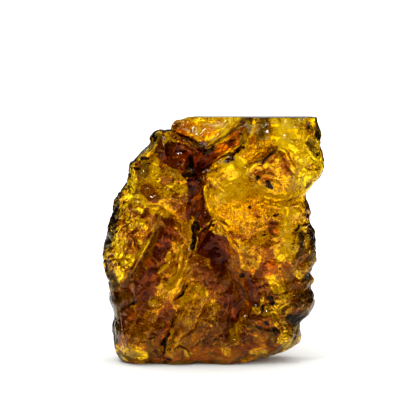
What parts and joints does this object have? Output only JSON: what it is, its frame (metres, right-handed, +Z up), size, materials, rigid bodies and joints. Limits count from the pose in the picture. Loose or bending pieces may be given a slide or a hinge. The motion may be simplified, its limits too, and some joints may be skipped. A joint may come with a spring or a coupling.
{
  "type": "raw copal",
  "caption": "Upright slab of clear golden raw copal resin with brown smoky bands, broken ledges, a sawn top and a flat foot to stand on.",
  "frame": {"origin": "centre of the slab's box, on the flat foot that it stands on", "axes": "+Z up from the foot, +X to the right as the front is seen, -Y out of the front"},
  "size_m": [0.0632, 0.027, 0.07],
  "materials": {
    "copal_resin": "clear golden resin with brown smoke and black grit in it, glossy broken skin"
  },
  "bodies": {
    "root": {"copal": "copal_resin"}
  },
  "joints": []
}
